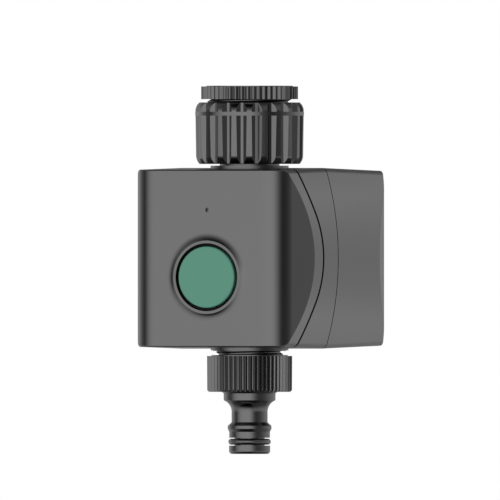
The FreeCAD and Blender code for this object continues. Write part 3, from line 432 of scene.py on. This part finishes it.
def make_housing_finish():
    """Satin graphite with painted shade: near black on the wall of the button's hole and in and along the
    seams.
    """
    parts = make_satin_graphite("satin graphite housing", 0.19, 0.008)
    tree = parts["tree"]
    split = tree.nodes.new("ShaderNodeSeparateXYZ")
    tree.links.new(parts["place"], split.inputs[0])
    # Painted shade: the button's hole and the seams turn near black, in the rubber's colour
    painted_shade = maths(tree, "MAXIMUM", button_hole_shade_mask(tree, split), seam_shade_mask(tree, split))
    colour = tree.nodes.new("ShaderNodeMix")
    colour.data_type = "RGBA"
    tree.links.new(painted_shade, colour.inputs["Factor"])
    tree.links.new(parts["tone"].outputs["Colour"], colour.inputs["A"])
    colour.inputs["B"].default_value = (*RUBBER_BLACK, 1.0)
    tree.links.new(colour.outputs["Result"], parts["shader"].inputs["Base Color"])
    return parts["material"]


def make_materials():
    return {
        "housing": make_housing_finish(),
        "fitting": make_satin_graphite("satin graphite fitting", 0.17, 0.005)["material"],
        "button": plain_finish("green button plastic", BUTTON_GREEN, 0.36, drift=0.02)["material"],
        "seal": make_rubber(),
        "polished_seal": make_satin_graphite("polished graphite rubber", 0.22, 0.004)["material"],
        "lens": make_lens(),
        "white_plastic": plain_finish("white nylon", NYLON_WHITE, 0.35, drift=0.02)["material"],
        "inner_plastic": plain_finish("black inner plastic", INNER_BLACK, 0.4, drift=0.08)["material"],
        "copper": make_coil_winding(),
        "steel": plain_finish("bright steel", STEEL_GREY, 0.24, metallic=1.0, drift=0.05)["material"],
        "board": make_board_laminate(),
        "cell": make_cell_sleeve(),
        "wire_skin": make_wire_skin(),
    }


MATERIALS = make_materials()


def dress_nodes():
    """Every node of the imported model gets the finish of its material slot."""
    slots = {part["node"]: part["material_slot"] for part in frame["record"]["subparts"]}
    slots["nipple_o_ring"] = "polished_seal"
    for name, node in frame["nodes"].items():
        finish = MATERIALS[slots[name]]
        if not node.material_slots:
            node.data.materials.append(finish)
        for slot in node.material_slots:
            slot.material = finish


# New pieces

def finished_piece(name, bm, slot, body, smooth=False):
    """Object from a bmesh, with its doubles merged and its faces turned outwards."""
    bmesh.ops.remove_doubles(bm, verts=bm.verts, dist=0.002 * MM)
    bmesh.ops.recalc_face_normals(bm, faces=bm.faces)
    for face in bm.faces:
        face.smooth = smooth
    mesh = bpy.data.meshes.new(name)
    bm.to_mesh(mesh)
    bm.free()
    piece = bpy.data.objects.new(name, mesh)
    bpy.context.scene.collection.objects.link(piece)
    mesh.materials.append(MATERIALS[slot])
    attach(piece, body)
    return piece


def closed_ring(bm, points):
    """Closed loop of new edges through the points."""
    verts = [bm.verts.new(point) for point in points]
    return [bm.edges.new((verts[index - 1], verts[index])) for index in range(len(verts))]


def helix_ridge(name, slot, body, crest, depth, pitch, z_range, start_angle, inward=False):
    """Thread ridge: a flat-topped V carried round the water axis while it climbs."""
    own_height = 0.9
    turns = (z_range[1] - z_range[0]) / pitch - own_height
    sign = -1.0 if inward else 1.0
    foot = crest - sign * (depth + THREAD_SINK)
    half_foot = 0.46 * pitch
    half_top = 0.04 * pitch
    middle = z_range[0] + half_foot
    bm = bmesh.new()
    profile = [Vector((foot, 0, middle - half_foot)), Vector((crest, 0, middle - half_top)),
               Vector((crest, 0, middle + half_top)), Vector((foot, 0, middle + half_foot))]
    edges = closed_ring(bm, profile)
    cap = bmesh.ops.contextual_create(bm, geom=edges)["faces"]
    geometry = cap[:] + list(cap[0].edges) + list(cap[0].verts)
    steps = int(THREAD_STEPS_PER_TURN * turns)
    turn = turns * 2 * math.pi
    bmesh.ops.spin(bm, geom=geometry, cent=(0, 0, 0), axis=(0, 0, 1), dvec=(0, 0, turns * pitch / steps),
                   angle=turn, steps=steps, use_duplicate=False)
    bmesh.ops.rotate(bm, verts=bm.verts, cent=(0, 0, 0), matrix=Matrix.Rotation(start_angle, 3, "Z"))
    return finished_piece(name, bm, slot, body)


def make_threads():
    helix_ridge("adapter_outer_thread", "fitting", "adapter", LARGE_CREST, THREAD_DEPTH_LARGE,
                THREAD_PITCH_LARGE, LARGE_THREAD_Z, math.radians(-111))
    helix_ridge("spout_thread", "fitting", "housing", SMALL_CREST, THREAD_DEPTH_SMALL,
                THREAD_PITCH_SMALL, SPOUT_THREAD_Z, math.radians(47))
    helix_ridge("adapter_inner_thread", "fitting", "adapter", INLET_WALL - THREAD_DEPTH_SMALL,
                THREAD_DEPTH_SMALL, THREAD_PITCH_SMALL, INLET_THREAD_Z, 0.0, inward=True)


def make_strainer_gauze():
    """Steel gauze over the strainer's mouth: two layers of thin wires, one across the other."""
    bm = bmesh.new()
    count = int(GAUZE_RADIUS / GAUZE_PITCH)
    overlap = 0.85 * GAUZE_WIRE
    for along in (False, True):
        for index in range(-count, count + 1):
            offset = index * GAUZE_PITCH
            half = math.sqrt(GAUZE_RADIUS ** 2 - offset ** 2)
            if half < 2 * GAUZE_PITCH:
                continue
            made = bmesh.ops.create_cone(bm, cap_ends=True, segments=6, radius1=GAUZE_WIRE,
                                         radius2=GAUZE_WIRE, depth=2 * half)
            turn = Matrix.Rotation(math.pi / 2, 3, "X" if along else "Y")
            bmesh.ops.rotate(bm, verts=made["verts"], cent=(0, 0, 0), matrix=turn)
            shift = (offset, 0, GAUZE_Z + overlap) if along else (0, offset, GAUZE_Z - overlap)
            bmesh.ops.translate(bm, verts=made["verts"], vec=shift)
    return finished_piece("strainer_gauze", bm, "steel", "tap_seal", smooth=True)


def make_spring(name, node, radius, wire, turns, z):
    """Coil spring along Y, as long as the model's spring, which it replaces and hides."""
    low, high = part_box(node)
    length = high.y - low.y - 2 * wire
    bm = bmesh.new()
    made = bmesh.ops.create_circle(bm, cap_ends=True, radius=wire, segments=10)
    bmesh.ops.translate(bm, verts=made["verts"], vec=(radius, 0, 0))
    steps_per_turn = 32
    steps = steps_per_turn * turns
    bmesh.ops.spin(bm, geom=bm.verts[:] + bm.edges[:] + bm.faces[:], cent=(0, 0, 0), axis=(0, 1, 0),
                   dvec=(0, length / steps, 0), angle=turns * 2 * math.pi, steps=steps, use_duplicate=False)
    bmesh.ops.translate(bm, verts=bm.verts, vec=(0, low.y + wire, z))
    spring = finished_piece(name, bm, "steel", "housing", smooth=True)
    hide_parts(node)
    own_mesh(spring)
    return spring


def make_springs():
    make_spring("button_return_spring", "button_spring", radius=5.6 * MM, wire=0.35 * MM, turns=4,
                z=BUTTON_AXIS_Z)
    make_spring("diaphragm_return_spring", "diaphragm_spring", radius=5.6 * MM, wire=0.35 * MM, turns=2,
                z=HOUSING_MIDDLE_Z)
    make_spring("plunger_return_spring", "plunger_spring", radius=2.2 * MM, wire=0.3 * MM, turns=2,
                z=HOUSING_MIDDLE_Z)


def cross_outline(half_length, half_width):
    """Corners of a plus sign, going round once."""
    corners = []
    for quarter in range(4):
        turn = Matrix.Rotation(quarter * math.pi / 2, 3, "Z")
        for corner in ((half_length, -half_width), (half_length, half_width), (half_width, half_width)):
            corners.append(turn @ Vector((corner[0], corner[1], 0)))
    return corners


def inside_cross(point, half_length, half_width):
    near, far = sorted((abs(point.x), abs(point.y)))
    return near < half_width and far < half_length


def make_screw(bm, centre, head_radius, head_height, shank_radius, shank_length):
    """Pan-head screw with a cross recess; its head looks along +Y."""
    first = len(bm.verts)
    sizes = [(head_radius * across, head_height * up) for across, up in SCREW_HEAD_OUTLINE]
    sizes += [(shank_radius, 0.0), (shank_radius, -shank_length)]
    radius, height = sizes[0]
    ring = bmesh.ops.create_circle(bm, cap_ends=False, radius=radius, segments=SCREW_SEGMENTS)
    bmesh.ops.translate(bm, verts=ring["verts"], vec=(0, 0, height))
    rim = [edge for edge in bm.edges if edge.verts[0] in ring["verts"] and edge.verts[1] in ring["verts"]]
    current = rim
    for next_radius, next_height in sizes[1:]:
        grown = bmesh.ops.extrude_edge_only(bm, edges=current)["geom"]
        verts = [item for item in grown if isinstance(item, bmesh.types.BMVert)]
        current = [item for item in grown if isinstance(item, bmesh.types.BMEdge)]
        bmesh.ops.scale(bm, verts=verts, vec=(next_radius / radius, next_radius / radius, 1))
        bmesh.ops.translate(bm, verts=verts, vec=(0, 0, next_height - height))
        radius = next_radius
        height = next_height
    bmesh.ops.holes_fill(bm, edges=current, sides=0)
    cross_size = (0.56 * head_radius, 0.15 * head_radius)
    cross = cross_outline(*cross_size)
    cross_edges = closed_ring(bm, [point + Vector((0, 0, head_height)) for point in cross])
    bmesh.ops.triangle_fill(bm, use_beauty=True, use_dissolve=False, edges=rim + cross_edges,
                            normal=(0, 0, 1))
    top_faces = [face for face in bm.faces if abs(face.calc_center_median().z - head_height) < 1e-7]
    in_recess = [face for face in top_faces if inside_cross(face.calc_center_median(), *cross_size)]
    bmesh.ops.delete(bm, geom=in_recess, context="FACES_ONLY")
    sunk = bmesh.ops.extrude_edge_only(bm, edges=cross_edges)["geom"]
    floor_verts = [item for item in sunk if isinstance(item, bmesh.types.BMVert)]
    floor_edges = [item for item in sunk if isinstance(item, bmesh.types.BMEdge)]
    bmesh.ops.scale(bm, verts=floor_verts, vec=(0.5, 0.5, 1))
    bmesh.ops.translate(bm, verts=floor_verts, vec=(0, 0, -1.1 * head_height))
    bmesh.ops.contextual_create(bm, geom=floor_edges)
    bm.verts.ensure_lookup_table()
    made = bm.verts[first:]
    bmesh.ops.rotate(bm, verts=made, cent=(0, 0, 0), matrix=Matrix.Rotation(-math.pi / 2, 3, "X"))
    bmesh.ops.translate(bm, verts=made, vec=centre)


def make_door_screws():
    low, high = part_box("door_screws")
    seat_y = high.y - SCREW_HEAD_HEIGHT
    bm = bmesh.new()
    for side in (-1, 1):
        centre = Vector((0, seat_y, HOUSING_MIDDLE_Z + side * SCREW_FROM_MIDDLE))
        make_screw(bm, centre, SCREW_HEAD_RADIUS, SCREW_HEAD_HEIGHT, SCREW_SHANK_RADIUS, seat_y - low.y)
    screws = finished_piece("door_screw_pair", bm, "steel", "door")
    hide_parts("door_screws")


def make_pieces():
    make_threads()
    make_strainer_gauze()
    make_springs()
    make_door_screws()


# Studio

def direction(azimuth_degrees):
    """Unit vector from the water axis towards an azimuth; 0 is the front, 90 the right."""
    azimuth = math.radians(azimuth_degrees)
    return Vector((math.sin(azimuth), -math.cos(azimuth), 0))


def pale_paint():
    """Matt pale paint of the floor."""
    material = bpy.data.materials.new("pale floor")
    material.use_nodes = True
    shader = material.node_tree.nodes["Principled BSDF"]
    shader.inputs["Base Color"].default_value = (*FLOOR_PALE, 1.0)
    shader.inputs["Roughness"].default_value = 0.9
    return material


def make_floor():
    bm = bmesh.new()
    bmesh.ops.create_grid(bm, x_segments=1, y_segments=1, size=FLOOR_REACH)
    bmesh.ops.translate(bm, verts=bm.verts, vec=(0, 0, CAD_BOX[0].z - FLOOR_GAP))
    mesh = bpy.data.meshes.new("studio_floor")
    bm.to_mesh(mesh)
    bm.free()
    floor = bpy.data.objects.new("studio_floor", mesh)
    bpy.context.scene.collection.objects.link(floor)
    floor.visible_glossy = False
    mesh.materials.append(pale_paint())


def tent_material():
    """Glow of the tent by direction: bright in front, dark at both sides, dim behind."""
    material = bpy.data.materials.new("graded tent")
    material.use_nodes = True
    tree = material.node_tree
    tree.nodes.remove(tree.nodes["Principled BSDF"])
    place = tree.nodes.new("ShaderNodeTexCoord").outputs["Object"]
    ray = tree.nodes.new("ShaderNodeVectorMath")
    ray.operation = "NORMALIZE"
    tree.links.new(place, ray.inputs[0])
    split = tree.nodes.new("ShaderNodeSeparateXYZ")
    tree.links.new(ray.outputs["Vector"], split.inputs[0])
    forward = maths(tree, "MULTIPLY", split.outputs["Y"], -1.0)
    azimuth = maths(tree, "ARCTAN2", split.outputs["X"], forward)
    turned = maths(tree, "ADD", maths(tree, "DIVIDE", azimuth, 2 * math.pi), 0.5)
    rise = maths(tree, "ARCSINE", split.outputs["Z"], 0.0)
    height = maths(tree, "ADD", maths(tree, "DIVIDE", rise, math.pi), 0.5)
    around = graded(tree, turned, [((stop[0] + 180) / 360, *stop[1:]) for stop in TENT_AROUND])
    upward = graded(tree, height, [((stop[0] + 90) / 180, *stop[1:]) for stop in TENT_UPWARD])
    blend = tree.nodes.new("ShaderNodeMix")
    tree.links.new(around.outputs["Green"], blend.inputs["Factor"])
    tree.links.new(upward.outputs["Red"], blend.inputs["A"])
    tree.links.new(upward.outputs["Green"], blend.inputs["B"])
    main = maths(tree, "MULTIPLY", around.outputs["Red"], blend.outputs["Result"])
    room = maths(tree, "MULTIPLY", around.outputs["Blue"], upward.outputs["Blue"])
    above = maths(tree, "MAXIMUM", maths(tree, "SUBTRACT", split.outputs["Z"], TENT_ZENITH), 0.0)
    zenith = maths(tree, "MULTIPLY", above, TENT_ZENITH_SLOPE)
    glow = maths(tree, "ADD", maths(tree, "ADD", main, room), zenith)
    emission = tree.nodes.new("ShaderNodeEmission")
    tree.links.new(glow, emission.inputs["Strength"])
    tree.links.new(emission.outputs["Emission"], tree.nodes["Material Output"].inputs["Surface"])
    return material


def graded(tree, factor, stops):
    """Three values that change together along a factor, as the red, green and blue of a colour ramp."""
    ramp = tree.nodes.new("ShaderNodeValToRGB")
    tree.links.new(factor, ramp.inputs["Fac"])
    points = ramp.color_ramp.elements
    points[0].position = stops[0][0]
    points[1].position = stops[-1][0]
    for stop in stops[1:-1]:
        points.new(stop[0])
    for point, stop in zip(points, stops):
        point.color = (*stop[1:], 1.0)
    split = tree.nodes.new("ShaderNodeSeparateColor")
    tree.links.new(ramp.outputs["Color"], split.inputs["Color"])
    return split


def make_tent():
    """Graded light tent round the object, which only its reflections see."""
    bm = bmesh.new()
    bmesh.ops.create_icosphere(bm, subdivisions=4, radius=TENT_RADIUS)
    bmesh.ops.reverse_faces(bm, faces=bm.faces)
    mesh = bpy.data.meshes.new("graded_tent")
    bm.to_mesh(mesh)
    bm.free()
    tent = bpy.data.objects.new("graded_tent", mesh)
    bpy.context.scene.collection.objects.link(tent)
    tent.location = (0, 0, VIEW_CENTRE_Z)
    mesh.materials.append(tent_material())
    tent.visible_camera = False
    tent.visible_diffuse = False
    tent.visible_shadow = False
    tent.visible_transmission = False


def make_world():
    """White where the camera sees it, in reflections and through clear pieces; softer as light."""
    world = bpy.data.worlds.new("white studio")
    bpy.context.scene.world = world
    world.use_nodes = True
    tree = world.node_tree
    background = tree.nodes["Background"]
    background.inputs["Color"].default_value = (1.0, 1.0, 1.0, 1.0)
    path = tree.nodes.new("ShaderNodeLightPath")
    seen = maths(tree, "MAXIMUM", path.outputs["Is Camera Ray"], path.outputs["Is Glossy Ray"])
    seen = maths(tree, "MAXIMUM", seen, path.outputs["Is Transmission Ray"])
    extra = maths(tree, "MULTIPLY", seen, 1.0 - DAYLIGHT)
    strength = maths(tree, "ADD", extra, DAYLIGHT)
    tree.links.new(strength, background.inputs["Strength"])


def make_lamp(name, azimuth, height, distance, size, power):
    """Square soft lamp towards the middle of the object, without a reflection of its own."""
    lamp = bpy.data.lights.new(name, "AREA")
    lamp.shape = "SQUARE"
    lamp.size = size
    lamp.energy = power
    holder = bpy.data.objects.new(name, lamp)
    bpy.context.scene.collection.objects.link(holder)
    target = Vector((0, 0, VIEW_CENTRE_Z))
    holder.location = target + direction(azimuth) * distance + Vector((0, 0, height))
    holder.rotation_euler = (target - holder.location).to_track_quat("-Z", "Y").to_euler()
    holder.visible_glossy = False


def make_camera():
    """Level camera without perspective, at the photograph's angle."""
    camera = bpy.data.cameras.new("side camera")
    camera.type = "ORTHO"
    camera.ortho_scale = VIEW_WIDTH
    holder = bpy.data.objects.new("side camera", camera)
    bpy.context.scene.collection.objects.link(holder)
    back = direction(VIEW_AZIMUTH)
    right = direction(VIEW_AZIMUTH + 90)
    target = right * VIEW_SHIFT_RIGHT + Vector((0, 0, VIEW_CENTRE_Z))
    holder.location = target + back * CAMERA_DISTANCE
    holder.rotation_euler = (-back).to_track_quat("-Z", "Y").to_euler()
    bpy.context.scene.camera = holder


def make_studio():
    make_floor()
    make_tent()
    make_world()
    make_lamp("soft key lamp", azimuth=-15, height=0.5, distance=1.0, size=0.6, power=4.0)
    make_camera()
    bpy.context.scene.view_settings.view_transform = "Standard"


dress_nodes()
make_pieces()
make_studio()
